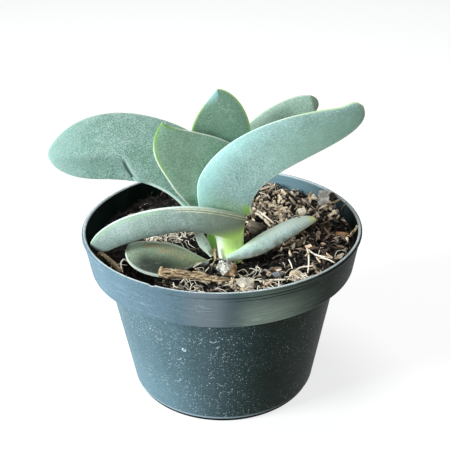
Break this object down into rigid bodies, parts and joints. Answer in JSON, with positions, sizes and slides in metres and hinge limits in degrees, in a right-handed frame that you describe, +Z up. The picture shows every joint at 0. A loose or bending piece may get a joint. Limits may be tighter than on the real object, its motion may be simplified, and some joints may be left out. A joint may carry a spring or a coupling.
{
  "type": "potted propeller plant",
  "caption": "Young propeller plant with thick sickle-shaped leaves in a small round nursery pot of bark mix, a free-standing ornament.",
  "frame": {"origin": "centre of the pot's foot, on the ground", "axes": "+Z up, -Y towards the front, from which the biggest leaves show their faces, +X to the right seen from the front"},
  "size_m": [0.116, 0.108, 0.124],
  "materials": {
    "pot_plastic": "thin slate-green moulded plastic, semi-matt, with fine scratches and dried specks",
    "bark_mix": "damp dark bark mix, rough",
    "grey_bark": "weathered grey bark",
    "dark_bark": "dark rough bark",
    "orange_bark": "fresh orange-brown bark",
    "tan_bark": "fibrous tan bark",
    "pale_stone": "rough pale grit",
    "stem_green": "smooth lime-green stem, paler on one side",
    "leaf_grey_green": "grey-green leaf with a fine pale grain and pale margins",
    "leaf_young_green": "fresher green leaf with lime margins",
    "leaf_olive": "old olive leaf with brown scars",
    "leaf_bright_green": "bright green shoot leaf"
  },
  "bodies": {
    "root": {"pot": "pot_plastic", "soil": "bark_mix", "bark_flake": "grey_bark", "bark_lump": "dark_bark", "orange_chip": "orange_bark", "pale_chip": "pale_stone", "stone": "pale_stone", "pebble": "pale_stone", "bark_stick": "tan_bark", "twig": "tan_bark", "stem": "stem_green", "leaf_left_lower": "leaf_grey_green", "leaf_right_soil": "leaf_grey_green", "leaf_right_upper": "leaf_grey_green", "leaf_front_young": "leaf_young_green", "leaf_left_soil": "leaf_olive", "shoot_leaf_pale": "leaf_grey_green", "leaf_left_upper": "leaf_grey_green", "leaf_back_young": "leaf_young_green", "shoot_leaf_green": "leaf_bright_green", "leaf_right_back": "leaf_grey_green"}
  },
  "joints": []
}
